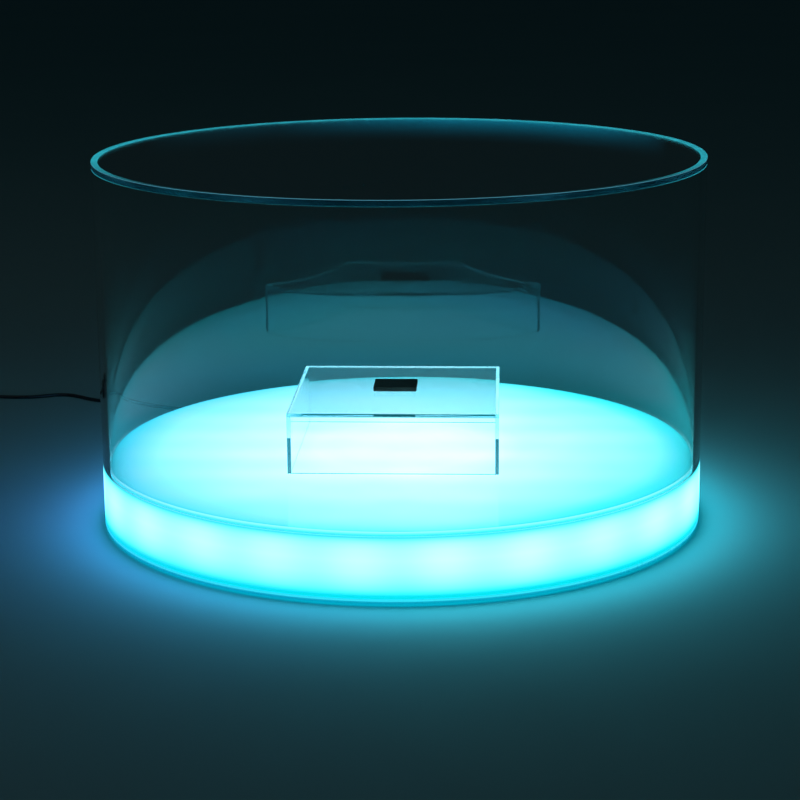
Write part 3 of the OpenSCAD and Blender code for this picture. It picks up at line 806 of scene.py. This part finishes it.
def build_base():
    """Wall, plate, deck, ledge and feet. A seam keeps the wall off the plate."""
    wall = ring_corners(BASE_R, BASE_R - WALL_T, wall_low.z + SEAM, wall_high.z, 0.0004)
    turned_piece("wall", "base", wall, ["wall_ring"], wall_material)
    plate = disc_corners(BASE_R, plate_low.z, plate_high.z - SEAM, 0.0006)
    turned_piece("plate", "base", plate, ["bottom_plate"])
    top = disc_corners(deck_high.x, deck_low.z, deck_high.z, 0.0005)
    turned_piece("deck_disc", "base", top, ["deck"], deck_material)
    low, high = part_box("deck_ledge")
    ledge = ring_corners(high.x, high.x - LEDGE_W, low.z, high.z - 0.0001, 0.0003)
    turned_piece("ledge", "base", ledge, ["deck_ledge"])
    foot = [
        (0, 0, 0), (FOOT_R - FOOT_CHAMFER, 0, 0.0003), (FOOT_R, 0.0006, 0.0003),
        (FOOT_R, plate_low.z, 0), (0, plate_low.z, 0),
    ]
    made = bmesh.new()
    for i in range(FEET):
        angle = 2 * math.pi * (i + 0.5) / FEET
        place = (FOOT_RING * math.cos(angle), FOOT_RING * math.sin(angle), 0)
        turned(made, soften(foot), 48, Matrix.Translation(place))
    finish_piece(made, "rubber_feet", "base", ["feet"])


def build_cover():
    """Tube, cement line and disc, each sunk into the next. The disc's edge has its own finish."""
    inner, joint = tube_high.x - TUBE_T, 0.0001
    tube = ring_corners(tube_high.x, inner, tube_low.z + 0.00005, tube_high.z + joint, 0.0001)
    turned_piece("tube", "cover", tube, ["cover_tube"], cover_wall())
    low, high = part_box("cover_bond")
    bond = ring_corners(high.x - 0.0001, inner + 0.0001, low.z, high.z + joint, 0)
    turned_piece("bond", "cover", bond, ["cover_bond"])
    corners = disc_corners(disc_high.x, disc_low.z, disc_high.z, 0.0004)
    disc = turned_piece("disc", "cover", corners, ["cover_disc"], cover_face)
    disc.data.materials.append(disc_edge())
    for face in disc.data.polygons:
        if abs(face.normal.z) < 0.3:
            face.material_index = 1


def build_riser():
    """Five cemented sheets that stand a hair above the deck, and the pad on top."""
    edge, joint, gap = 0.00015, 0.0003, 0.00004
    panel("riser_top", "riser", edge)
    for name in ("riser_front", "riser_back"):
        panel(name, "riser", edge, (0, 0, gap), (0, 0, joint))
    for name in ("riser_left", "riser_right"):
        panel(name, "riser", edge, (0, -joint, gap), (0, joint, joint))
    eased("ball_pad", "riser", 0.0006)


build_base()
build_cover()
build_riser()

for name, part in nodes.items():
    if len(part.material_slots) == 0:
        part.data.materials.append(None)
    for holder in part.material_slots:
        holder.material = finishes.get(slot_of[name], wall_material)

# --- Floor and light ---

FLOOR_R = 25
LAMP_SIZE = 0.9
LAMP_POWER = 1.5
LAMP_PLACE = (-1.2, -0.6, 2.6)
ROOM_COLOUR = (0.4, 0.86, 1.0)
ROOM_LIGHT = 0.009


def build_stage():
    """A plain floor, one soft lamp and a dim room."""
    made = bmesh.new()
    bmesh.ops.create_circle(made, cap_ends=True, segments=96, radius=FLOOR_R)
    mesh = bpy.data.meshes.new("floor")
    made.to_mesh(mesh)
    made.free()
    floor = bpy.data.objects.new("floor", mesh)
    scene.collection.objects.link(floor)
    surface, tree, shader = material("floor", IOR=1.4, Specular_IOR_Level=0.15)
    cloud = noise(tree, 0.5, 3)
    colour = blend_colours(tree, cloud, (0.3, 0.57, 0.6), (0.35, 0.63, 0.66))
    join(tree, colour, shader, "Base Color")
    join(tree, spread(tree, noise(tree, 0.05, 3), 0.8, 0.9), shader, "Roughness")
    join(tree, bump(tree, noise(tree, 0.002, 3), 0.0001), shader, "Normal")
    mesh.materials.append(surface)

    lamp = bpy.data.lights.new("softbox", "AREA")
    lamp.shape = "RECTANGLE"
    lamp.size, lamp.size_y = LAMP_SIZE, LAMP_SIZE
    lamp.energy = LAMP_POWER
    lamp.color = (0.95, 0.98, 1.0)
    softbox = bpy.data.objects.new("softbox", lamp)
    scene.collection.objects.link(softbox)
    softbox.location = LAMP_PLACE
    aim = Vector((0, 0, 0.1)) - softbox.location
    softbox.rotation_euler = aim.to_track_quat("-Z", "Y").to_euler()

    world = bpy.data.worlds.new("studio")
    world.use_nodes = True
    background = world.node_tree.nodes["Background"]
    background.inputs[0].default_value = (*ROOM_COLOUR, 1)
    background.inputs[1].default_value = ROOM_LIGHT
    scene.world = world


build_stage()
scene.view_settings.view_transform = "Standard"
scene.view_settings.look = "None"
scene.cycles.max_bounces = 24
scene.cycles.transmission_bounces = 24
scene.cycles.glossy_bounces = 16
scene.cycles.transparent_max_bounces = 32
